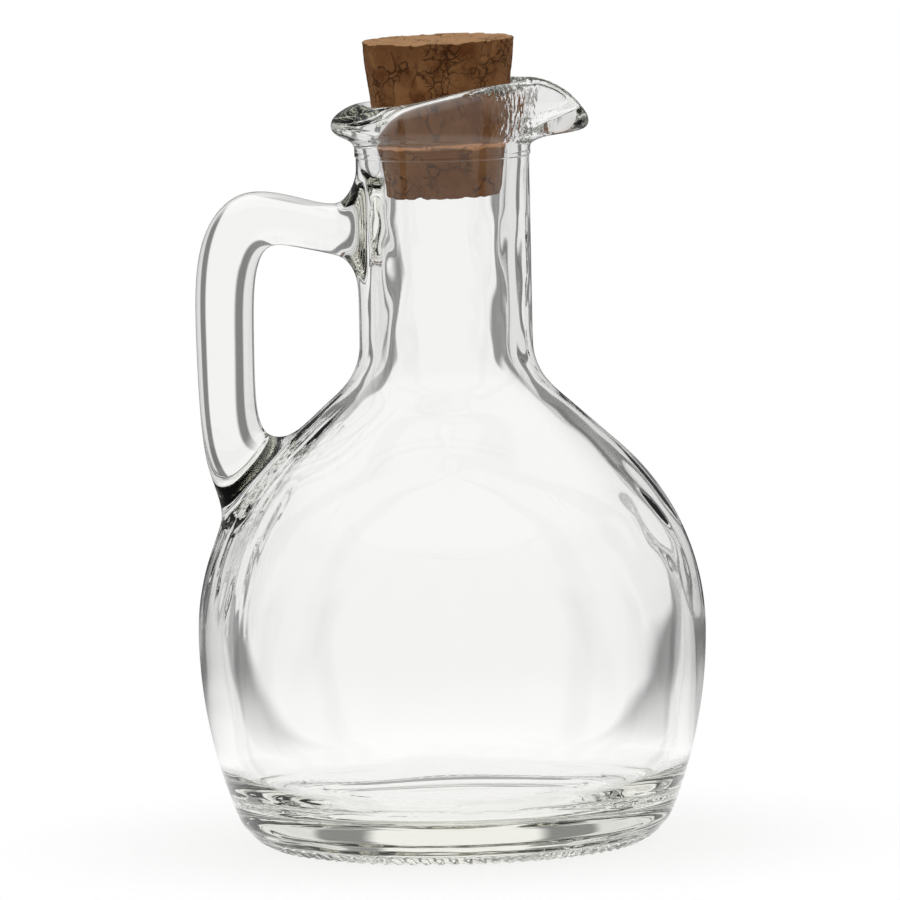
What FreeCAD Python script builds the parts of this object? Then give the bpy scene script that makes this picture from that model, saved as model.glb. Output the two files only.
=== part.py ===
"""Corked glass cruet: a round-bellied bottle with a side handle and a pouring lip.

Units are millimetres.  The origin is the centre of the base on the plane the
bottle stands on, +Z runs up the neck, the spout points to +X and the handle
stands off to -X.  Two pieces are made: the glass bottle and its cork.
"""
import FreeCAD, Part
import math
import os

from FreeCAD import Vector

os.makedirs("parts", exist_ok=True)

# ---------------------------------------------------------------- glass body
body_radius = 42.4          # widest radius of the belly
widest_height = 35.7        # height of the widest ring
lower_sweep = 82.0          # radius of the arc from the widest ring to the heel
shoulder_sweep = 40.8       # radius of the arc from the widest ring to the shoulder
shoulder_slope = 48.0       # degrees off vertical where the shoulder runs into a cone
neck_radius = 14.45         # outside of the neck
neck_sweep = 11.0           # radius of the hollow curve from shoulder to neck
neck_top = 117.6            # height where the pouring lip starts
parting_drop = 2.6          # the mould's parting step lies this far below the neck's top
parting_step = 0.2          # how much the neck is stouter above that step

# ---------------------------------------------------------------------- base
heel_height = 4.8           # height of the mould line round the heel
heel_sweep = 9.5            # radius of the rounding below the heel
bearing_inset = 11.3        # from the widest radius in to the ring it stands on
bearing_width = 3.3         # width of that flat ring
punt_height = 1.5           # how far the middle of the base is pushed up
floor_height = 8.0          # height of the inside floor at its edge
floor_dish = 0.9            # how much lower the middle of the floor lies
floor_corner = 9.1          # how far the rounding from floor to wall reaches inwards
floor_corner_rise = 7.3     # how far it reaches up the wall
floor_corner_sweep = 8.4    # radius of that rounding

# ---------------------------------------------------------------------- wall
belly_wall = 3.1            # glass thickness round the belly
shoulder_wall = 3.5         # glass thickness on the shoulder
bore_room = 0.45            # bore below the seat, wider than the cork's lower end by this

# ---------------------------------------------------------------------- cork
cork_height = 26.2
cork_top_radius = 12.85
cork_bottom_radius = 9.75
cork_depth = 9.2            # how deep the cork goes below the top of the neck
cork_tilt = 1.2             # degrees, leaning to the handle side
cork_edge = 0.4             # rounding of the cork's two edges
cork_clearance = 0.02       # least gap between cork and seat, measured on the radius
seat_lead = 1.0             # length of seat below the cork's lower face

# ----------------------------------------------------------------------- lip
rim_height = 6.1            # rim above the neck's top on the handle side
lip_rise = 3.6              # extra height that the rim gains towards the spout
climb_start = 0.05          # share of the way from handle to spout where the rim starts to climb
climb_end = 0.90            # share of the way where it has its full height
spout_drop = 5.1            # how far the tip of the spout droops from that height
spout_length = 9.05         # how far the spout's rim reaches beyond the neck
rim_flare = 0.15            # rim beyond the neck beside the spout
rim_tuck = 0.4              # how much less the rim reaches out on the handle side
bead_out = 4.3              # bead outside the rim on the handle side
edge_out = 0.85             # bead outside the rim at the spout
spout_angle = 17.0          # half-angle of the beak in plan, degrees
droop_angle = 10.0          # half-angle of the drooping part, degrees
lip_stations = 48           # radial sections that shape the lip
throat_depth = 2.5          # how far the tapered cork seat runs up into the lip
lip_overlap = 0.3           # neck carried up into the lip so that the two fuse

# -------------------------------------------------------------------- handle
handle_width = 10.0         # handle from front to back
root_width = 13.0           # handle where it flows into the neck
foot_width = 15.5           # handle where it flows into the shoulder
handle_bias = 0.12          # how much wider the handle is on its outer edge
handle_squareness = 0.8     # 1 is an ellipse, less is squarer
handle_corners = 12         # points round one ring of the handle
root_blend = 2.0            # rounding where the handle meets the neck
foot_blend = 2.5            # rounding where the handle meets the shoulder

# ------------------------------------------------------------- worked out
bearing_outer = body_radius - bearing_inset
bearing_inner = bearing_outer - bearing_width
inner_radius = body_radius - belly_wall
bore_radius = cork_bottom_radius + bore_room
collar_radius = neck_radius + parting_step
cork_base_height = neck_top - cork_depth
cork_taper = (cork_top_radius - cork_bottom_radius) / cork_height
seat_middle = neck_top - cork_depth / 2
seat_gap = cork_clearance + (cork_depth / 2 + seat_lead) * math.tan(math.radians(cork_tilt))


def at(radius, height):
    """A point of a profile, in the XZ plane."""
    return Vector(radius, 0, height)


def arc(start, middle, end):
    return Part.Arc(start, middle, end).toShape()


def line(start, end):
    return Part.makeLine(start, end)


def on_circle(centre, radius, degrees):
    """The point of a circle in the XZ plane at an angle above the +X direction."""
    angle = math.radians(degrees)
    return centre + Vector(radius * math.cos(angle), 0, radius * math.sin(angle))


def bulged_arc(start, end, radius):
    """The short arc of a given radius from start up to end, bulging outwards."""
    chord = end - start
    sagitta = radius - math.sqrt(radius ** 2 - (chord.Length / 2) ** 2)
    normal = Vector(chord.z, 0, -chord.x).normalize()
    return arc(start, (start + end) / 2 + normal * sagitta, end)


def dish(middle_height, rim):
    """A shallow arc from the axis out to a rim."""
    rise = middle_height - rim.z
    return arc(at(0, middle_height), at(rim.x / 2, rim.z + rise * 3 / 4), rim)


def belly(widest_radius, sweep, low_height):
    """The lower and upper arcs that meet at the widest ring."""
    low_centre = at(widest_radius - lower_sweep, widest_height)
    low_turn = math.degrees(math.asin((low_height - widest_height) / lower_sweep))
    widest = at(widest_radius, widest_height)
    lower = arc(on_circle(low_centre, lower_sweep, low_turn),
                on_circle(low_centre, lower_sweep, low_turn / 2), widest)
    high_centre = at(widest_radius - sweep, widest_height)
    upper = arc(widest, on_circle(high_centre, sweep, shoulder_slope / 2),
                on_circle(high_centre, sweep, shoulder_slope))
    return lower, upper


def end_of(edge):
    return edge.Vertexes[-1].Point


def shoulder_to_neck(cone_start, radius, sweep):
    """The cone and the hollow curve that carry a shoulder up to a straight neck."""
    slope = math.radians(shoulder_slope)
    curve_radius = radius + sweep * (1 - math.cos(slope))
    rise = (cone_start.x - curve_radius) / math.tan(slope)
    curve_start = at(curve_radius, cone_start.z + rise)
    centre = at(radius + sweep, curve_start.z + sweep * math.sin(slope))
    curve = arc(curve_start, on_circle(centre, sweep, 180 + shoulder_slope / 2),
                at(radius, centre.z))
    return line(cone_start, curve_start), curve


def turned(edges):
    """A solid turned about the Z axis from a closed profile."""
    face = Part.Face(Part.Wire(edges))
    return face.revolve(Vector(0, 0, 0), Vector(0, 0, 1), 360)


def path(points):
    """Straight edges through points."""
    return [line(start, end) for start, end in zip(points, points[1:])]


def outer_edges():
    """The outside of the belly, shoulder and neck foot, from the heel up."""
    lower, upper = belly(body_radius, shoulder_sweep, heel_height)
    cone, curve = shoulder_to_neck(end_of(upper), neck_radius, neck_sweep)
    return [lower, upper, cone, curve]


neck_foot = end_of(outer_edges()[-1]).z      # height where the straight neck begins


def glass_outside():
    """Base, belly, shoulder and neck, solid right through."""
    sides = outer_edges()
    heel = sides[0].Vertexes[0].Point
    bearing = at(bearing_outer, 0)
    punt_edge = at(bearing_inner, 0)
    collar_foot = neck_top - parting_drop
    collar_top = neck_top + lip_overlap
    edges = [dish(punt_height, punt_edge), line(punt_edge, bearing),
             bulged_arc(bearing, heel, heel_sweep)]
    edges += sides
    edges += path([end_of(sides[-1]), at(neck_radius, collar_foot),
                   at(collar_radius, collar_foot + parting_step),
                   at(collar_radius, collar_top), at(0, collar_top), at(0, punt_height)])
    return turned(edges)


def seat_radius_at(height):
    """Radius of the tapered seat: the cork's own, with room for it to lean."""
    return cork_bottom_radius + cork_taper * (height - cork_base_height) + seat_gap


def cavity():
    """The hollow of the bottle: floor, belly, bore and the tapered cork seat."""
    lower, upper = belly(inner_radius, shoulder_sweep - shoulder_wall,
                         floor_height + floor_corner_rise)
    wall_foot = lower.Vertexes[0].Point
    floor_rim = at(wall_foot.x - floor_corner, floor_height)
    floor_middle = floor_height - floor_dish
    inner_sweep = neck_sweep + neck_radius - bore_radius
    seat_foot = cork_base_height - seat_lead
    seat_top = neck_top + throat_depth
    cone, curve = shoulder_to_neck(end_of(upper), bore_radius, inner_sweep)
    edges = [dish(floor_middle, floor_rim),
             bulged_arc(floor_rim, wall_foot, floor_corner_sweep),
             lower, upper, cone, curve]
    edges += path([end_of(curve), at(bore_radius, seat_foot),
                   at(seat_radius_at(seat_top), seat_top), at(0, seat_top),
                   at(0, floor_middle)])
    return turned(edges)


def skin(rows):
    """A smooth closed solid over rows of points.

    Each row is one ring of points; the skin passes through the points round a
    ring and is drawn by them, as by a control polygon, from ring to ring.  The
    first and last rings are flat and are closed by flat faces.
    """
    count = len(rows[0])
    steps = [i / count for i in range(count + 1)]
    rings = []
    for row in rows:
        ring = Part.BSplineCurve()
        ring.interpolate(Points=row, PeriodicFlag=True, Parameters=steps)
        rings.append(ring)
    degree = 3
    spans = len(rows) - degree
    clamped = [degree + 1] + [1] * (spans - 1) + [degree + 1]
    surface = Part.BSplineSurface()
    surface.buildFromPolesMultsKnots(
        [ring.getPoles() for ring in rings], clamped, rings[0].getMultiplicities(),
        [k / spans for k in range(spans + 1)], rings[0].getKnots(),
        False, True, degree, degree)
    ends = [Part.Face(Part.Wire(surface.uIso(u).toShape())) for u in (0.0, 1.0)]
    shell = Part.Shell([surface.toShape()] + ends)
    shell.sewShape()
    solid = Part.Solid(shell if shell.ShapeType == "Shell" else shell.Shells[0])
    if solid.Volume < 0:
        solid.reverse()
    return solid


def eased(share):
    """0 up to 0, 1 from 1 on, and an even swing between."""
    share = min(max(share, 0), 1)
    return share * share * (3 - 2 * share)


def lip_section(angle):
    """Control points of the lip's section at an angle from the spout, as (radius, height).

    They run from inside the neck wall out along the underside, up over the rim
    and down the throat to the seat.
    """
    away = (1 - math.cos(angle)) / 2
    beak = math.exp(-(math.degrees(angle) / spout_angle) ** 2)
    droop = math.exp(-(math.degrees(angle) / droop_angle) ** 2)
    beside = neck_radius + rim_flare - rim_tuck * away
    rim = beside + (spout_length - rim_flare) * beak
    outer = rim + edge_out + (bead_out - edge_out) * away
    climb = (1 - away - climb_start) / (climb_end - climb_start)
    crest = neck_top + rim_height + lip_rise * eased(climb) - spout_drop * droop
    seat = seat_radius_at(neck_top)
    return [(collar_radius - 0.5, neck_top - 2.0),
            (collar_radius - 0.1, neck_top - 0.6),
            (collar_radius + 0.3 * (outer - collar_radius), neck_top + 0.6),
            (outer, neck_top + 1.4 - 0.4 * beak),
            (outer + 0.3, crest - 1.3 - 0.7 * away),
            (rim + 0.1, crest + 0.5),
            (rim - 1.5 - 1.2 * beak, crest - 0.2),
            (seat + 0.9 + 3.2 * beak, neck_top + 3.2 - 0.6 * beak),
            (seat + 0.3, neck_top + 1.3),
            (seat - 0.6, neck_top - 0.4)]


def pouring_lip():
    """The wavy rim, drawn out on one side into a drooping beak."""
    sections = []
    for i in range(lip_stations):
        turn = 2 * math.pi * i / lip_stations
        angle = min(turn, 2 * math.pi - turn)
        ring = [Vector(r * math.cos(turn), r * math.sin(turn), z)
                for r, z in lip_section(angle)]
        sections.append(ring)
    return skin([list(row) for row in zip(*sections)])


# The handle, station by station, out of the neck, round the thumb corner, down
# the grip and into the shoulder.  The first pair places the middle of a section:
# out from the neck's radius (0) to the belly's (1), and up from the widest ring
# (0) to the foot of the straight neck (1) and on to its top (2).  The second pair
# runs from that middle to the outer edge, out and up.  The last is the width.
handle_stations = [
    ((-0.102, 1.571), (0.00, 8.15), root_width),
    ((0.005, 1.566), (0.00, 5.20), root_width - 1.5),
    ((0.141, 1.560), (0.10, 3.90), handle_width + 0.4),
    ((0.388, 1.618), (0.70, 4.45), handle_width),
    ((0.623, 1.650), (2.55, 4.60), handle_width),
    ((0.762, 1.501), (4.55, 2.90), handle_width),
    ((0.803, 1.292), (4.90, 0.75), handle_width),
    ((0.802, 1.017), (4.85, 0.00), handle_width),
    ((0.800, 0.841), (4.70, -0.75), handle_width),
    ((0.782, 0.677), (4.60, -1.85), handle_width + 1.0),
    ((0.692, 0.564), (5.50, -3.70), handle_width + 2.5),
    ((0.556, 0.494), (6.20, -6.50), foot_width - 1.0),
    ((0.395, 0.426), (6.50, -8.75), foot_width),
]


def oval(middle, to_outer, width):
    """One ring of the handle: a squarish oval, wider on its outer edge."""
    out, up = middle
    radius = neck_radius + (body_radius - neck_radius) * out
    height = widest_height + (neck_foot - widest_height) * min(up, 1)
    height += (neck_top - neck_foot) * max(up - 1, 0)
    half = at(-to_outer[0], to_outer[1])
    ring = []
    for i in range(handle_corners):
        turn = 2 * math.pi * i / handle_corners
        across = math.cos(turn)
        aside = math.sin(turn) * (1 + handle_bias * across)
        reach = math.copysign(abs(across) ** handle_squareness, across)
        side = math.copysign(abs(aside) ** handle_squareness, aside)
        ring.append(at(-radius, height) + half * reach + Vector(0, width / 2 * side, 0))
    return ring


def handle():
    return skin([oval(*station) for station in handle_stations])


def joins(solid, low, high):
    """The edges where a skinned surface meets a turned one, between two heights."""
    found = []
    for face in solid.Faces:
        if not isinstance(face.Surface, Part.BSplineSurface):
            continue
        for edge in face.Edges:
            if edge.Degenerated or edge.isSeam(face):
                continue
            if low < edge.CenterOfMass.z < high:
                found.append(edge)
    return found


def bottle():
    """Body, lip and handle in one piece of glass, hollowed, rounded where the handle joins."""
    glass = glass_outside().fuse([pouring_lip(), handle()]).removeSplitter()
    glass = glass.cut(cavity())
    for low, high, radius in ((0, neck_foot, foot_blend),
                              (neck_foot, neck_top - parting_drop, root_blend)):
        glass = glass.makeFillet(radius, joins(glass, low, high)).Solids[0]
    return glass


def cork():
    """The tapered stopper, standing in its seat and leaning a little."""
    plug = Part.makeCone(cork_bottom_radius, cork_top_radius, cork_height)
    rims = [edge for edge in plug.Edges if isinstance(edge.Curve, Part.Circle)]
    plug = plug.makeFillet(cork_edge, rims)
    plug.translate(at(0, cork_base_height))
    plug.rotate(at(0, seat_middle), Vector(0, 1, 0), -cork_tilt)
    return plug


pieces = {"bottle": bottle(), "cork": cork()}
for name, piece in pieces.items():
    if len(piece.Solids) != 1 or not piece.isValid():
        raise ValueError(name + " is not one valid solid")
    piece.Solids[0].exportStep("parts/" + name + ".step")
    print(name, "volume", round(piece.Volume), "box", piece.BoundBox)
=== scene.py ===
import math

import bmesh
import bpy
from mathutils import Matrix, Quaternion, Vector, noise


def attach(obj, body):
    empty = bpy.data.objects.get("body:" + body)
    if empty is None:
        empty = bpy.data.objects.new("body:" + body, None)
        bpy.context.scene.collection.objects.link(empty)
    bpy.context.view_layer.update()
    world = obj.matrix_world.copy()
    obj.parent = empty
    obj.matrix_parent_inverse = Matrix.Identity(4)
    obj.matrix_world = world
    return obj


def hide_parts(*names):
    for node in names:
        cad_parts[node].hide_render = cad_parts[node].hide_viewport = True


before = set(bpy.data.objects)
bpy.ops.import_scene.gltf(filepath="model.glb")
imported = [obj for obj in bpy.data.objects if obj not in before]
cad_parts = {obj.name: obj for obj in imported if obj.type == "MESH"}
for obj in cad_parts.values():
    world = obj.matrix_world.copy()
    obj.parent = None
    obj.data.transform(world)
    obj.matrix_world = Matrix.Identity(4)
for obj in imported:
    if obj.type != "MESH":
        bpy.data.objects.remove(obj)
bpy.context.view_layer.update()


# ---------------------------------------------------------------- glass bottle
# Body, neck, handle and pouring lip are one piece of clear, faintly green soda
# glass.  The body is pressed in a mould and blown, so the outside is true and the
# inside is a little wavy; the handle is drawn out of the neck into the shoulder.
body_radius = 0.0424
widest_height = 0.0357
lower_sweep = 0.082         # the arc that draws the belly in below its widest
shoulder_sweep = 0.0408     # the arc of the shoulder above it
shoulder_slope = math.radians(48)
neck_radius = 0.01445
neck_sweep = 0.011          # the hollow curve from the shoulder into the neck
neck_top = 0.1176
heel_height = 0.0048
heel_bulge = 0.00068
bearing_outer = 0.0311      # the ring that the bottle stands on
bearing_inner = 0.0278
bearing_edge = 0.0006
punt_height = 0.0015
floor_height = 0.008
floor_dish = 0.0009
floor_radius = 0.0276
floor_bulge = 0.0022
belly_wall = 0.0031
shoulder_wall = 0.0035
bore_radius = 0.0102

bottle_sides = 42
smoothing_levels = 2
settling_rounds = 4


def settled(points, closed):
    """Control points whose smoothed curve runs through the given points."""
    control = list(points)
    last = len(points) - 1
    for _ in range(settling_rounds):
        moved = []
        for i, point in enumerate(points):
            if not closed and i in (0, last):
                moved.append(point)
                continue
            before = control[i - 1]
            after = control[(i + 1) % len(points)]
            smooth = (before + 4 * control[i] + after) / 6
            moved.append(control[i] + point - smooth)
        control = moved
    return control


def halved(points):
    """The same smoothed curve with twice the control points."""
    finer = []
    for i in range(len(points) - 1):
        if i:
            finer.append((points[i - 1] + 6 * points[i] + points[i + 1]) / 8)
        finer.append((points[i] + points[i + 1]) / 2)
    return finer


def wall_radius(height, widest, sweep, neck, hollow):
    """Radius of the turned wall at a height: belly, shoulder, cone, hollow curve, neck."""
    if height <= widest_height:
        return widest - lower_sweep + math.sqrt(lower_sweep ** 2 - (height - widest_height) ** 2)
    cone_radius = widest - sweep * (1 - math.cos(shoulder_slope))
    cone_height = widest_height + sweep * math.sin(shoulder_slope)
    if height <= cone_height:
        return widest - sweep + math.sqrt(sweep ** 2 - (height - widest_height) ** 2)
    curve_radius = neck + hollow * (1 - math.cos(shoulder_slope))
    curve_height = cone_height + (cone_radius - curve_radius) / math.tan(shoulder_slope)
    if height <= curve_height:
        return cone_radius - (height - cone_height) * math.tan(shoulder_slope)
    neck_height = curve_height + hollow * math.sin(shoulder_slope)
    if height <= neck_height:
        return neck + hollow - math.sqrt(hollow ** 2 - (neck_height - height) ** 2)
    return neck


def outside_radius(height):
    return wall_radius(height, body_radius, shoulder_sweep, neck_radius, neck_sweep)


def inside_radius(height):
    return wall_radius(height, body_radius - belly_wall, shoulder_sweep - shoulder_wall,
                       bore_radius, neck_sweep + neck_radius - bore_radius)


def quarter(start, end, bulge, steps):
    """Points between two profile points along an arc of a given bulge, ends left out."""
    chord = end - start
    normal = Vector((chord.y, -chord.x)).normalized()
    return [start + chord * t + normal * bulge * 4 * t * (1 - t)
            for t in (i / (steps + 1) for i in range(1, steps + 1))]


def eased(share):
    """0 up to 0, 1 from 1 on, and an even swing between."""
    share = min(max(share, 0), 1)
    return share * share * (3 - 2 * share)


def bell(offset, width):
    """1 at no offset, falling away smoothly over a width."""
    return math.exp(-(offset / width) ** 2)


collar_radius = neck_radius + 0.0002    # the neck is stouter above the mould's parting step
collar_foot = neck_top - 0.0026
rim_height = 0.0061
lip_rise = 0.0036           # how much the lip climbs from the handle to the spout
climb_start = 0.05
climb_span = 0.85
spout_length = 0.00905
spout_spread = 17           # degrees to each side over which the spout is pulled out
spout_drop = 0.0051
droop_spread = 10           # degrees to each side over which its tip hangs down
rim_flare = 0.00015
rim_tuck = 0.0004
bead_out = 0.0043           # overhang of the bead beside the handle
edge_out = 0.00085          # overhang of the thin edge at the spout
throat_radius = 0.01098


def lip_section(angle):
    """Control points of the lip from its underside over the rim into the throat."""
    turn = math.degrees(angle)
    away = (1 - math.cos(angle)) / 2
    beak = bell(turn, spout_spread)
    droop = bell(turn, droop_spread)
    rim = neck_radius + rim_flare - rim_tuck * away + (spout_length - rim_flare) * beak
    outer = rim + edge_out + (bead_out - edge_out) * away
    climb = (1 - away - climb_start) / climb_span
    crest = neck_top + rim_height + lip_rise * eased(climb) - spout_drop * droop
    section = [(collar_radius, neck_top - 0.0014),
               (collar_radius, neck_top - 0.0006),
               (collar_radius + 0.3 * (outer - collar_radius), neck_top + 0.0006),
               (outer, neck_top + 0.0014 - 0.0004 * beak),
               (outer + 0.0003, crest - 0.0013 - 0.0007 * away),
               (rim + 0.0001, crest + 0.0005),
               (rim - 0.0015 - 0.0012 * beak, crest - 0.0002),
               (throat_radius + 0.0009 + 0.0032 * beak, neck_top + 0.0032 - 0.0006 * beak),
               (throat_radius + 0.0003, neck_top + 0.0013),
               (throat_radius - 0.0001, neck_top - 0.0006),
               (throat_radius - 0.0003, neck_top - 0.0022)]
    return halved([Vector(point) for point in section])


# Rows of the control net, and the openings in it that the handle grows from.
punt_radii = (0.002, 0.007, 0.012, 0.017, 0.022, 0.0255)
floor_radii = (0.002, 0.007, 0.012, 0.0165, 0.0195, 0.0215, 0.0235, 0.0256)
outside_heights = [0.0048, 0.0078, 0.012, 0.017, 0.022, 0.027, 0.032, 0.0365, 0.0405, 0.0445,
                   0.0488, 0.053, 0.0564, 0.0597, 0.0627, 0.0654, 0.068, 0.0706, 0.0732,
                   0.0758, 0.078, 0.0802, 0.0825, 0.0855, 0.0902, 0.095, 0.099, 0.103,
                   0.107, 0.111, 0.1135]
inside_heights = [0.0153, 0.019, 0.023, 0.027, 0.031, 0.0357, 0.040, 0.044, 0.048, 0.0515,
                  0.055, 0.058, 0.061, 0.0635, 0.066, 0.069, 0.072, 0.074, 0.076, 0.078,
                  0.0805, 0.083, 0.086, 0.090, 0.095, 0.100, 0.104, 0.107]
corner_rows = 4
foot_row, foot_rows, foot_columns = 0.053, 6, 4
root_row, root_rows, root_columns = 0.095, 4, 6

bearing = Vector((bearing_outer, 0))
heel = Vector((outside_radius(heel_height), heel_height))
base = [Vector((r, punt_height * (1 - (r / bearing_inner) ** 2))) for r in punt_radii]
base += [Vector((bearing_inner, 0)), Vector((bearing_inner + bearing_edge, 0)),
         Vector((bearing_outer - bearing_edge, 0)), bearing]
base += quarter(bearing, heel, heel_bulge, corner_rows)
outside = base + [Vector((outside_radius(z), z)) for z in outside_heights]
outside += [Vector((neck_radius, collar_foot - 0.0003)), Vector((neck_radius, collar_foot)),
            Vector((collar_radius, collar_foot + 0.0002)),
            Vector((collar_radius, collar_foot + 0.0005))]
wall_foot = Vector((inside_radius(inside_heights[0]), inside_heights[0]))
floor_rim = Vector((floor_radius, floor_height))
floor = [Vector((r, floor_height - floor_dish * (1 - (r / floor_rim.x) ** 2)))
         for r in floor_radii] + [floor_rim]
floor += quarter(floor_rim, wall_foot, floor_bulge, corner_rows)
inside = floor + [Vector((inside_radius(z), z)) for z in inside_heights]
inside += [Vector((bore_radius + 0.00035, 0.1112)), Vector((0.0108, 0.1138))]   # the cork's seat

outside_control = settled(outside, closed=False)
inside_control = settled(inside, closed=False)[::-1]
columns = []
for i in range(bottle_sides):
    turn = 2 * math.pi * i / bottle_sides
    away = min(turn, 2 * math.pi - turn)
    section = outside_control + lip_section(away) + inside_control
    columns.append([Vector((p.x * math.cos(turn), p.x * math.sin(turn), p.y)) for p in section])

net = [settled(list(row), closed=True) for row in zip(*columns)]
inside_start = len(outside_control) + len(lip_section(0))
blown_wave = 0.00022        # how far the blown inside swings about its true form
for row in net[inside_start:]:
    for point in row:
        wave = noise.noise(point * 55) + 0.5 * noise.noise(point * 130 + Vector((7, 3, 1)))
        point.xy *= 1 + blown_wave * wave / max(point.xy.length, 0.01)

glass_mesh = bmesh.new()
rings = [[glass_mesh.verts.new(point) for point in row] for row in net]
back = bottle_sides // 2
openings = ((len(base) + outside_heights.index(root_row), root_rows, root_columns),
            (len(base) + outside_heights.index(foot_row), foot_rows, foot_columns))


def open_for_handle(row, column):
    for first, rows, width in openings:
        if first <= row < first + rows and back - width // 2 <= column < back + width // 2:
            return True
    return False


for j in range(len(rings) - 1):
    for i in range(bottle_sides):
        if not open_for_handle(j, i):
            k = (i + 1) % bottle_sides
            glass_mesh.faces.new((rings[j][i], rings[j][k], rings[j + 1][k], rings[j + 1][i]))
for ring, height in ((rings[0], punt_height), (rings[-1], floor_height - floor_dish)):
    middle = glass_mesh.verts.new((0, 0, height))
    for i in range(bottle_sides):
        glass_mesh.faces.new((ring[i], ring[(i + 1) % bottle_sides], middle))

# The handle from neck to shoulder: outer edge, inner edge, both as (x, z), and the
# width across.  Its last ring stands just off the shoulder, where the glass spreads.
handle_width = 0.010
handle_flare = 0.12         # how much wider it is towards its outer edge
handle_roundness = 0.8      # 1 is an ellipse, less is squarer
handle_line = [((-0.0146, 0.1082), (-0.0146, 0.0978), 0.0115),
               ((-0.0185, 0.1067), (-0.0183, 0.0989), 0.0104),
               ((-0.0260, 0.1092), (-0.0246, 0.1003), handle_width),
               ((-0.0344, 0.1104), (-0.0293, 0.1012), handle_width),
               ((-0.0403, 0.1037), (-0.0312, 0.0979), handle_width),
               ((-0.0418, 0.0945), (-0.0320, 0.0930), handle_width),
               ((-0.0417, 0.0845), (-0.03205, 0.0845), handle_width),
               ((-0.0415, 0.0755), (-0.0321, 0.0770), handle_width),
               ((-0.0409, 0.0665), (-0.0317, 0.0702), 0.011),
               ((-0.0393, 0.0592), (-0.0283, 0.0666), 0.0125),
               ((-0.0362, 0.0530), (-0.0238, 0.0660), 0.0145)]
handle_foot = ((-0.0376, 0.0563), (-0.0264, 0.0683), 0.0137)
handle_corners = 20


def handle_ring(outer, inner, width):
    """A squarish oval between the two edges, wider on its outer edge."""
    centre = (outer + inner) / 2
    half = (outer - inner) / 2
    ring = []
    for i in range(handle_corners):
        turn = 2 * math.pi * i / handle_corners
        across = math.cos(turn)
        aside = math.sin(turn) * (1 + handle_flare * across)
        reach = math.copysign(abs(across) ** handle_roundness, across)
        side = math.copysign(abs(aside) ** handle_roundness, aside)
        middle = centre + half * reach
        ring.append(Vector((middle.x, -width / 2 * side, middle.y)))
    return settled(ring, closed=True)


edges = [halved([Vector(station[k]) for station in handle_line]) for k in (0, 1)]
widths = halved([station[2] for station in handle_line])
stations = list(zip(*edges, widths))[:-2]
stations.append((Vector(handle_foot[0]), Vector(handle_foot[1]), handle_foot[2]))


def rim_of_opening(first, rows, width, outer_edge_up):
    """Vertices round an opening in the body, from the middle of its outer edge."""
    near, far = back + width // 2, back - width // 2
    top, bottom = first + rows, first
    start, end = (top, bottom) if outer_edge_up else (bottom, top)
    step = -1 if outer_edge_up else 1
    loop = [rings[start][i] for i in range(back, near)]
    loop += [rings[j][near] for j in range(start, end, step)]
    loop += [rings[end][i] for i in range(near, far, -1)]
    loop += [rings[j][far] for j in range(end, start, -step)]
    loop += [rings[start][i] for i in range(far, back)]
    return loop


tube = [rim_of_opening(*openings[0], outer_edge_up=True)]
tube += [[glass_mesh.verts.new(point) for point in handle_ring(*station)] for station in stations]
tube.append(rim_of_opening(*openings[1], outer_edge_up=False))
for near_ring, far_ring in zip(tube, tube[1:]):
    for i in range(handle_corners):
        k = (i + 1) % handle_corners
        glass_mesh.faces.new((near_ring[i], near_ring[k], far_ring[k], far_ring[i]))

bmesh.ops.recalc_face_normals(glass_mesh, faces=glass_mesh.faces)
coarse = bpy.data.meshes.new("coarse glass")
glass_mesh.to_mesh(coarse)
glass_mesh.free()
bottle = bpy.data.objects.new("glass_bottle", coarse)
bpy.context.collection.objects.link(bottle)
smoother = bottle.modifiers.new("smooth", "SUBSURF")
smoother.levels = smoother.render_levels = smoothing_levels
smooth_mesh = bpy.data.meshes.new_from_object(
    bottle.evaluated_get(bpy.context.evaluated_depsgraph_get()))
bottle.modifiers.clear()
bottle.data = smooth_mesh

# Marks of the mould and of hand work: a toothed bearing ring with a seam above it,
# rings on the inside floor, drawn streaks below the handle, a sag in the wall on
# the spout's side, a wavy bore and crinkles where the spout was pulled out.
tooth_count = 84
tooth_depth = 0.00045
tooth_foot = 0.0273
tooth_end = 0.0331
tooth_lean = 950            # radians of slant for each metre outwards
tooth_top = 0.0035
seam_radius = 0.0349
seam_depth = 0.00012
seam_width = 0.0004
plateau_radius = 0.0218
plateau_height = 0.0003
ring_radius = 0.0272
ring_height = 0.0002
crease_radius = 0.0338
crease_share = 2.4          # the crease's depth against the ring's height
floor_top = 0.0135
streak_top = 0.070
streak_foot = 0.037
streak_turn = 0.40          # half the angle the streaks spread over
streak_margin = 0.95        # half the angle of finer mesh that they need
streak_depth = 0.00022
sag_turn = -0.15
sag_height = 0.053
sag_depth = 0.0009
bore_wave = 0.00022
wall_slack = 0.0003
crinkle_depth = 0.00005
crinkle_foot = 0.1185
crinkle_start = 0.006
crinkle_end = 0.017


def streaked(turn, height):
    """How strongly the drawn streaks show here, 0 to 1."""
    aside = math.pi - abs(turn)
    return (eased((height - streak_foot) / 0.010) * (1 - eased((height - streak_top) / 0.004))
            * (1 - eased((aside - streak_turn) / 0.25)))


def mould_marks(point, turn):
    """Depth of the teeth under the bottle and of the seam above them."""
    reach = point.xy.length
    tooth = eased((reach - tooth_foot) / 0.0006) * (1 - eased((reach - tooth_end) / 0.0012))
    swing = 0.5 + 0.5 * math.cos(tooth_count * turn + tooth_lean * reach)
    wobble = 0.0003 * noise.noise(Vector((5 * math.cos(turn), 5 * math.sin(turn), 3)))
    return tooth_depth * tooth * swing + seam_depth * bell(reach - seam_radius - wobble, seam_width)


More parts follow.
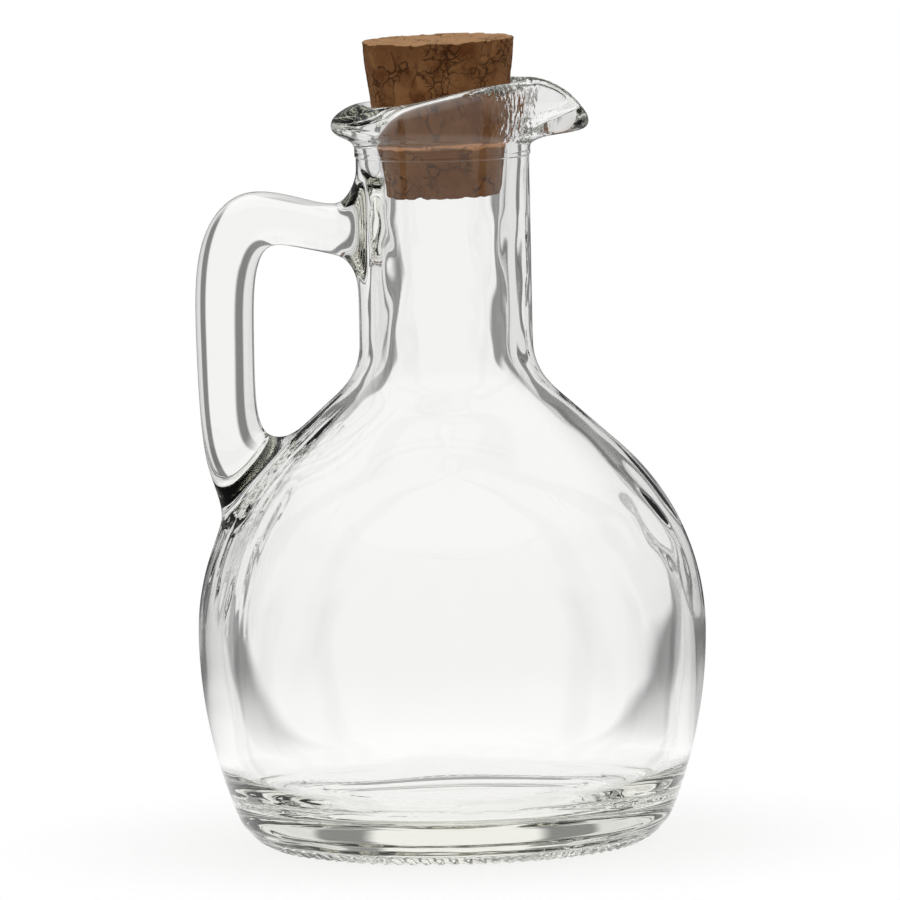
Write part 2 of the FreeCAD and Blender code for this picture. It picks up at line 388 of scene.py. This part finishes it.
def floor_rings(point, turn):
    """Shift of a point on the inside floor: a low plateau, two rings and a crease at the corner."""
    reach = point.xy.length
    wobble = 0.0007 * noise.noise(Vector((2 * math.cos(turn), 2 * math.sin(turn), 8)))
    wobble += 0.00025 * noise.noise(Vector((11 * math.cos(turn), 11 * math.sin(turn), 8)))
    plateau = 1 - eased((reach - plateau_radius - wobble) / 0.0014)
    ring = bell(reach - ring_radius - wobble, 0.0010)
    ring -= crease_share * bell(reach - crease_radius - wobble, 0.0006)
    sway = noise.noise(point * 110) * plateau
    return Vector((0, 0, plateau_height * plateau + ring_height * ring + 0.0001 * sway))


def hand_marks(point, turn, inner):
    """Depth of the marks on the body's and neck's walls, inwards."""
    aside = turn % (2 * math.pi)
    streaks = noise.noise(Vector((aside * 17, point.z * 60, 5)))
    streaks += 0.5 * noise.noise(Vector((aside * 38, point.z * 90, 9)))
    patchy = eased(0.55 + 1.6 * noise.noise(Vector((aside * 6, point.z * 70, 2))))
    depth = streak_depth * streaked(turn, point.z) * patchy * (0.6 + 1.3 * streaks)
    if inner:
        sag = bell(turn - sag_turn, 0.45) * bell(point.z - sag_height, 0.011)
        depth += sag_depth * sag * noise.noise(point * 150 + Vector((1, 5, 2)))
        neck = eased((point.z - 0.070) / 0.012) * (1 - eased((point.z - 0.103) / 0.004))
        depth += bore_wave * neck * noise.noise(Vector((aside * 3, point.z * 150, 1)))
    return depth


def near_teeth(point):
    """Whether a point lies among the teeth or at the seam."""
    return (0 <= point.z <= tooth_top
            and tooth_foot - 0.001 < point.xy.length < seam_radius + 0.001)


def near_streaks(point):
    """Whether a point of the wall lies among the drawn streaks."""
    return (streak_foot <= point.z <= streak_top
            and math.pi - abs(math.atan2(point.y, point.x)) < streak_margin
            and point.xy.length < outside_radius(point.z) + wall_slack)


bottle_mesh = bmesh.new()
bottle_mesh.from_mesh(smooth_mesh)
for near_marks, cuts in ((near_teeth, 1), (near_streaks, 2)):
    across = []
    for edge in bottle_mesh.edges:
        start, end = (corner.co for corner in edge.verts)
        level = abs(start.z - end.z) < 0.0003 and abs(start.xy.length - end.xy.length) < 0.0002
        if level and near_marks(start):
            across.append(edge)
    bmesh.ops.subdivide_edges(bottle_mesh, edges=across, cuts=cuts, use_grid_fill=True)
bottle_mesh.normal_update()
for vertex in bottle_mesh.verts:
    point = vertex.co.copy()
    reach = point.xy.length
    turn = math.atan2(point.y, point.x)
    outer_wall = outside_radius(point.z)
    if point.z < tooth_top:
        vertex.co -= vertex.normal * mould_marks(point, turn)
    elif point.z < floor_top and reach < outer_wall - 0.002:
        vertex.co += floor_rings(point, turn)
    elif 0.015 < point.z < 0.106 and reach < outer_wall + wall_slack:
        inner = reach < (outer_wall + inside_radius(point.z)) / 2
        depth = hand_marks(point, turn, inner)
        outward = Vector((point.x, point.y, 0)) / reach
        vertex.co -= outward * (depth if inner else max(depth, 0))
    elif point.z > crinkle_foot and point.x > crinkle_start:
        pulled = eased((point.x - crinkle_start) / 0.003)
        pulled *= 1 - eased((point.x - crinkle_end) / 0.004)
        crinkle = abs(noise.noise(point * 650)) + 0.6 * abs(noise.noise(point * 1200))
        vertex.co -= vertex.normal * crinkle_depth * pulled * crinkle
    vertex.co.z = max(vertex.co.z, 0)
bottle_mesh.to_mesh(smooth_mesh)
bottle_mesh.free()
smooth_mesh.shade_smooth()


class Shade:
    """An output of a shader node; arithmetic on it adds the Math nodes that work it out."""

    def __init__(self, tree, socket):
        self.tree = tree
        self.socket = socket

    def math(self, operation, *values):
        return add_node(self.tree, "ShaderNodeMath", {"operation": operation}, values)

    def __add__(self, other):
        return self.math("ADD", self, other)

    def __radd__(self, other):
        return self.math("ADD", other, self)

    def __sub__(self, other):
        return self.math("SUBTRACT", self, other)

    def __rsub__(self, other):
        return self.math("SUBTRACT", other, self)

    def __mul__(self, other):
        return self.math("MULTIPLY", self, other)

    def __rmul__(self, other):
        return self.math("MULTIPLY", other, self)

    def step(self, low, high):
        """0 below low, 1 above high and a smooth rise between."""
        return add_node(self.tree, "ShaderNodeMapRange", {"interpolation_type": "SMOOTHSTEP"},
                        (self, low, high, 0.0, 1.0))


def add_node(tree, kind, settings, values, output=0):
    """Adds a node, sets it, fills its sockets by place or by name and returns an output."""
    node = tree.nodes.new(kind)
    for name, value in settings.items():
        setattr(node, name, value)
    named = values.items() if isinstance(values, dict) else enumerate(values)
    for name, value in named:
        if isinstance(value, Shade):
            tree.links.new(value.socket, node.inputs[name])
        elif value is not None:
            node.inputs[name].default_value = value
    return Shade(tree, node.outputs[output])


def new_material(name, **plain):
    """A material of one Principled surface with these plain socket values."""
    material = bpy.data.materials.new(name)
    material.use_nodes = True
    surface = material.node_tree.nodes["Principled BSDF"]
    for socket, value in plain.items():
        surface.inputs[socket.replace("_", " ")].default_value = value
    return material, material.node_tree, surface


def feed(socket, shade):
    shade.tree.links.new(shade.socket, socket)


def seen_by(tree, *rays):
    """1 for these kinds of ray, else 0."""
    found = None
    for name in rays:
        ray = add_node(tree, "ShaderNodeLightPath", {}, {}, name)
        found = ray if found is None else found.math("MAXIMUM", found, ray)
    return found


glass_tint = (0.75, 0.755, 0.54, 1)     # only thick glass looks green
tint_density = 5
crinkle_scale = 1100
crinkle_relief = 0.0003

glass, tree, surface = new_material("clear glass", Base_Color=(1, 1, 1, 1), Roughness=0,
                                    IOR=1.5, Transmission_Weight=1)
tint = add_node(tree, "ShaderNodeVolumeAbsorption", {},
                {"Color": glass_tint, "Density": tint_density})
feed(tree.nodes["Material Output"].inputs["Volume"], tint)
place = add_node(tree, "ShaderNodeTexCoord", {}, {}, "Object")
x, z = (add_node(tree, "ShaderNodeSeparateXYZ", {}, (place,), i) for i in (0, 2))
pulled = x.step(0.0065, 0.0085) * (1 - x.step(0.014, 0.019)) * z.step(0.1175, 0.119)
drawn = add_node(tree, "ShaderNodeVectorMath", {"operation": "MULTIPLY"}, (place, (1, 1, 0.45)))
fine = add_node(tree, "ShaderNodeTexNoise", {},
                {"Vector": drawn, "Scale": crinkle_scale, "Detail": 1})
crinkles = add_node(tree, "ShaderNodeBump", {},
                    {"Strength": 0.6, "Distance": crinkle_relief, "Height": fine * pulled})
feed(surface.inputs["Normal"], crinkles)
# Light that falls on the cork and the table passes straight through the glass.
straight = add_node(tree, "ShaderNodeBsdfTransparent", {}, {"Color": (0.98, 0.98, 0.98, 1)})
lighting = seen_by(tree, "Is Shadow Ray", "Is Diffuse Ray")
feed(tree.nodes["Material Output"].inputs["Surface"],
     add_node(tree, "ShaderNodeMixShader", {},
              {0: lighting, 1: Shade(tree, surface.outputs[0]), 2: straight}))
bottle.data.materials.clear()
bottle.data.materials.append(glass)
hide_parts("bottle")
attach(bottle, "root")


# ------------------------------------------------------------------------ cork
# A tapered stopper of ground and pressed cork, rough where it is cut, pushed
# about a third of its length into the neck.
cork_height = 0.0262
cork_base_height = 0.1084
cork_bottom_radius = 0.00975
cork_top_radius = 0.01285
cork_edge = 0.0003          # the narrow step round both ends
cork_tilt = math.radians(1.2)
seat_middle = 0.113         # height that the cork tilts about


def cork_point(radius, height, turn):
    """A point of the upright cork, leant towards the handle."""
    x = radius * math.cos(turn)
    z = cork_base_height + height - seat_middle
    return Vector((x * math.cos(cork_tilt) - z * math.sin(cork_tilt), radius * math.sin(turn),
                   x * math.sin(cork_tilt) + z * math.cos(cork_tilt) + seat_middle))


cork_sides = 320
cork_rows = 96
end_rings = 14
top_rings = 16
lump_depth = 0.00008
grain_depth = 0.00004
chip_depth = 0.0016
worn_depth = 0.00045
worn_width = 0.0007
torn_height = 0.0096        # a torn band round the front, above the neck's parting ring
torn_width = 0.0007
torn_depth = 0.00045
ragged_lift = 0.0006


def cork_depth(point, height, turn):
    """How far the rough surface lies inside the true form."""
    lumps = (lump_depth * (1 + noise.noise(point * 450))
             + grain_depth * (1 + noise.noise(point * 1400)))
    chips = chip_depth * max(0, noise.noise(point * 330 + Vector((4, 9, 2))) - 0.36)
    edge = min(height, cork_height - height)
    worn = max(0, 0.35 + noise.noise(point * 520 + Vector((1, 1, 6)))) * bell(edge, worn_width)
    torn = noise.noise(Vector((turn * 4, 1, 5))) * 0.0006
    front = eased(1.6 - 1.1 * abs(turn - 1.5 * math.pi))
    ledge = torn_depth * front * bell(height - torn_height - torn, torn_width)
    return lumps + chips + worn_depth * worn + ledge


cork_profile = [(cork_bottom_radius * i / end_rings, 0) for i in range(1, end_rings)]
cork_profile += [(cork_bottom_radius - cork_edge, 0), (cork_bottom_radius, cork_edge)]
cork_profile += [(cork_bottom_radius + (cork_top_radius - cork_bottom_radius) * i / cork_rows,
                  cork_edge + (cork_height - 2 * cork_edge) * i / cork_rows)
                 for i in range(1, cork_rows)]
cork_profile += [(cork_top_radius, cork_height - cork_edge),
                 (cork_top_radius - cork_edge, cork_height)]
cork_profile += [(cork_top_radius * i / top_rings, cork_height)
                 for i in range(top_rings - 1, 0, -1)]
cork_mesh = bmesh.new()
cork_rings = []
for radius, height in cork_profile:
    ring = []
    for i in range(cork_sides):
        turn = 2 * math.pi * i / cork_sides
        depth = cork_depth(cork_point(radius, height, turn), height, turn)
        side = eased((radius - 0.8 * cork_bottom_radius) / (0.2 * cork_bottom_radius))
        if height < cork_height / 2:
            inwards, rim_radius = 1, cork_bottom_radius
        else:
            inwards, rim_radius = -1, cork_top_radius
        sink = (1 - side) * depth * inwards
        worn = max(0, 0.1 + noise.noise(Vector((turn * 5, height * 90, 4)))
                   + 0.4 * noise.noise(Vector((turn * 15, height * 90, 7)))
                   + 0.3 * noise.noise(Vector((turn * 41, height * 90, 1))))
        worn *= bell(max(0, rim_radius - radius), 0.0012)
        lift = ragged_lift * worn * bell(min(height, cork_height - height), 0.0004)
        height_now = height + sink + lift * inwards
        ring.append(cork_mesh.verts.new(cork_point(radius - depth * side, height_now, turn)))
    cork_rings.append(ring)
for lower, upper in zip(cork_rings, cork_rings[1:]):
    for i in range(cork_sides):
        k = (i + 1) % cork_sides
        cork_mesh.faces.new((lower[i], lower[k], upper[k], upper[i]))
for ring, height in ((cork_rings[0], 0), (cork_rings[-1], cork_height)):
    middle = cork_mesh.verts.new(cork_point(0, height, 0))
    for i in range(cork_sides):
        cork_mesh.faces.new((ring[i], ring[(i + 1) % cork_sides], middle))
bmesh.ops.recalc_face_normals(cork_mesh, faces=cork_mesh.faces)
cork_data = bpy.data.meshes.new("cork")
cork_mesh.to_mesh(cork_data)
cork_mesh.free()
cork_data.shade_smooth()
cork = bpy.data.objects.new("cork_stopper", cork_data)
bpy.context.collection.objects.link(cork)

dark_bark, light_bark = (0.092, 0.036, 0.012, 1), (0.152, 0.071, 0.028, 1)
granule_tan, grain_tan = (0.21, 0.098, 0.036, 1), (0.20, 0.098, 0.04, 1)
cloud_brown, deep_brown = (0.085, 0.032, 0.010, 1), (0.075, 0.024, 0.007, 1)
pore_brown, neck_shade_brown = (0.05, 0.018, 0.007, 1), (0.12, 0.042, 0.003, 1)
torn_tan, upward_face_tan = (0.42, 0.20, 0.085, 1), (0.44, 0.25, 0.125, 1)
crack_brown = (0.038, 0.013, 0.004, 1)
granule_scale, crumb_scale = 300, 620

bark, tree, surface = new_material("pressed cork", Roughness=0.9, Specular_IOR_Level=0.05)
place = add_node(tree, "ShaderNodeTexCoord", {}, {}, "Object")


def cork_noise(scale, detail, offset=0.0):
    """Soft noise through the cork; other offsets give other patterns."""
    moved = add_node(tree, "ShaderNodeVectorMath", {"operation": "ADD"},
                     (place, (offset, offset, offset)))
    return add_node(tree, "ShaderNodeTexNoise", {},
                    {"Vector": moved, "Scale": scale, "Detail": detail, "Roughness": 0.6})


def blend(share, first, second):
    """A colour between two, by share."""
    return add_node(tree, "ShaderNodeMix", {"data_type": "RGBA"},
                    {0: share, 6: first, 7: second}, 2)


# Granules bent out of shape and crumbs between them; the cracks follow their borders.
warp = add_node(tree, "ShaderNodeTexNoise", {}, {"Vector": place, "Scale": 240, "Detail": 4}, 1)
bent = add_node(tree, "ShaderNodeVectorMath", {"operation": "MULTIPLY_ADD"},
                (warp, (0.0052, 0.0052, 0.0052), place))
granules = add_node(tree, "ShaderNodeTexVoronoi", {"feature": "DISTANCE_TO_EDGE"},
                    {"Vector": bent, "Scale": granule_scale})
tones = add_node(tree, "ShaderNodeTexVoronoi", {},
                 {"Vector": bent, "Scale": granule_scale}, "Color")
tone = add_node(tree, "ShaderNodeSeparateXYZ", {}, (tones,), 0)
crumbs = add_node(tree, "ShaderNodeTexVoronoi", {"feature": "DISTANCE_TO_EDGE"},
                  {"Vector": bent, "Scale": crumb_scale})
broken = cork_noise(110, 3, 3.0).step(0.53, 0.62)
cracks = (1 - granules.step(0.0, 0.05)) * cork_noise(210, 3, 5.0).step(0.49, 0.60)
cracks = cracks.math("MAXIMUM", cracks, (1 - crumbs.step(0.0, 0.08)) * broken)
pores = cork_noise(800, 3, 7.0).step(0.60, 0.70)

# The torn band on the front, the lighter tan of faces that point up, and painted shade on the
# part that sits in the neck, darker and redder to make up for the white the glass reflects over it.
height = add_node(tree, "ShaderNodeSeparateXYZ", {}, (place,), 2)
depth = add_node(tree, "ShaderNodeSeparateXYZ", {}, (place,), 1)
ragged = (cork_noise(260, 4, 1.0) - 0.5) * 0.0035
torn = height - (cork_base_height + torn_height) + ragged
band = (1 - torn.math("ABSOLUTE", torn).step(0.0004, 0.0009)) * (0 - depth).step(0.001, 0.004)
# Faces that point up get a lighter tan.
upright = add_node(tree, "ShaderNodeNewGeometry", {}, {}, "Normal")
top = add_node(tree, "ShaderNodeSeparateXYZ", {}, (upright,), 2).step(0.55, 0.85)
# Painted shade: the cork is darker and redder below the lip's top, to make up for the white the
# glass reflects over it.
neck_shade = 1 - height.step(0.119, 0.1245)

body = blend(cork_noise(120, 4).step(0.35, 0.65), dark_bark, light_bark)
body = blend(tone.step(0.5, 1.0) * 0.4, body, granule_tan)
body = blend(cork_noise(1500, 4, 2.0).step(0.45, 0.75) * 0.4, body, grain_tan)
body = blend(cork_noise(75, 3, 4.0).step(0.50, 0.62) * 0.5, body, cloud_brown)
body = blend(cork_noise(150, 3, 9.0).step(0.55, 0.66) * 0.7, body, deep_brown)
body = blend(pores * 0.45, body, pore_brown)
# painted shade on the cork inside the neck
body = blend(neck_shade * 0.42, body, neck_shade_brown)
body = blend(band * 0.85, body, torn_tan)
body = blend(top * 0.85, body, upward_face_tan)
body = blend(cracks * 0.85, body, crack_brown)
feed(surface.inputs["Base Color"], body)
relief = cork_noise(900, 4) * 0.5 - cracks * 1.3 - pores * 0.5 + tone * 0.4
roughened = add_node(tree, "ShaderNodeBump", {},
                     {"Strength": 0.7, "Distance": 0.0004, "Height": relief})
feed(surface.inputs["Normal"], roughened)
cork_data.materials.append(bark)
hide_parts("cork")
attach(cork, "root")


# ------------------------------------------------------------ floor and studio
# A white table top that runs back out of sight, in a ring of white panels with grey
# gaps between them that draw the edges of the glass, and one panel overhead for its
# highlights.  Only mirrored and bent rays see them: the light itself is even white.
panel_step = 45             # degrees between the middles of the panels
panel_half = 14             # half of a panel's width in degrees
panel_blur = 4
panel_bright = 0.94         # the panel behind the bottle and the ones in front of it
panel_side = 0.78
front_start, front_end = 115, 125       # from here on forwards there are no gaps
grey_gap = 0.20
grey_mirror = 0.12          # what the glass mirrors, but for the panel overhead


def studio_level(tree, ray):
    """Brightness of the studio in a direction, seen in the glass."""
    ahead = add_node(tree, "ShaderNodeVectorMath", {"operation": "NORMALIZE"}, (ray,))
    x, y, z = (add_node(tree, "ShaderNodeSeparateXYZ", {}, (ahead,), i) for i in range(3))
    turn = x.math("ARCTAN2", x, y) * (180 / math.pi)
    turn = turn.math("ABSOLUTE", turn)
    behind = 1 - turn.step(panel_half, panel_half + panel_blur)
    bright = behind.math("MAXIMUM", behind, turn.step(front_start - 10, front_end))
    panels = panel_side + (panel_bright - panel_side) * bright
    gap = turn.math("PINGPONG", turn, panel_step / 2).step(panel_half, panel_half + panel_blur)
    gap = gap * (1 - turn.step(front_start, front_end))
    level = panels + (grey_gap - panels) * gap
    mirror = grey_mirror + (1 - grey_mirror) * z.step(0.5, 0.75)
    reflected = seen_by(tree, "Is Glossy Ray") - seen_by(tree, "Is Transmission Ray")
    return level + (mirror - level) * reflected


table_size = 8
bpy.ops.mesh.primitive_plane_add(size=table_size)
table = bpy.context.object
table.name = "table_top"
white, tree, surface = new_material("white table", Base_Color=(0.97, 0.97, 0.97, 1),
                                    Specular_IOR_Level=0.0, Roughness=1.0)
spot = add_node(tree, "ShaderNodeNewGeometry", {}, {}, "Position")
x = add_node(tree, "ShaderNodeSeparateXYZ", {}, (spot,), 0)
y = add_node(tree, "ShaderNodeSeparateXYZ", {}, (spot,), 1)
away = x.math("SQRT", x * x + y * y)
far = away.step(0.04, 0.085)
through = seen_by(tree, "Is Glossy Ray", "Is Transmission Ray") * away.step(0.06, 0.24)
ray = add_node(tree, "ShaderNodeCombineXYZ", {}, (x, y, 0.0))
level = 1 + (studio_level(tree, ray) - 1) * through
glow = add_node(tree, "ShaderNodeEmission", {}, {"Color": level})
shown = far * seen_by(tree, "Is Camera Ray", "Is Glossy Ray", "Is Transmission Ray")
feed(tree.nodes["Material Output"].inputs["Surface"],
     add_node(tree, "ShaderNodeMixShader", {},
              {0: shown, 1: Shade(tree, surface.outputs[0]), 2: glow}))
table.data.materials.append(white)

studio = bpy.data.worlds.new("studio")
bpy.context.scene.world = studio
studio.use_nodes = True
tree = studio.node_tree
heading = add_node(tree, "ShaderNodeTexCoord", {}, {}, "Generated")
through = seen_by(tree, "Is Glossy Ray", "Is Transmission Ray")
level = 1 + (studio_level(tree, heading) - 1) * through
feed(tree.nodes["Background"].inputs["Color"], level)
tree.nodes["Background"].inputs["Strength"].default_value = 1

camera_place = (0.00025, -1.869, 0.2562)
camera_target = (0.00025, 0, 0.0657)
camera_roll = math.radians(1.2)
eye = bpy.data.cameras.new("camera")
eye.lens = 450
eye.sensor_width = 36
camera = bpy.data.objects.new("camera", eye)
bpy.context.collection.objects.link(camera)
camera.location = camera_place
aim = Vector(camera_target) - camera.location
camera.rotation_mode = "QUATERNION"
view_turn = aim.to_track_quat("-Z", "Y")
view_turn.rotate(Quaternion(aim.normalized(), camera_roll))
camera.rotation_quaternion = view_turn
bpy.context.scene.camera = camera
# Thick glass turns light round many times before it leaves.
bpy.context.scene.cycles.max_bounces = 24
bpy.context.scene.cycles.transmission_bounces = 16
bpy.context.scene.cycles.glossy_bounces = 10
bpy.context.scene.view_settings.view_transform = "Standard"
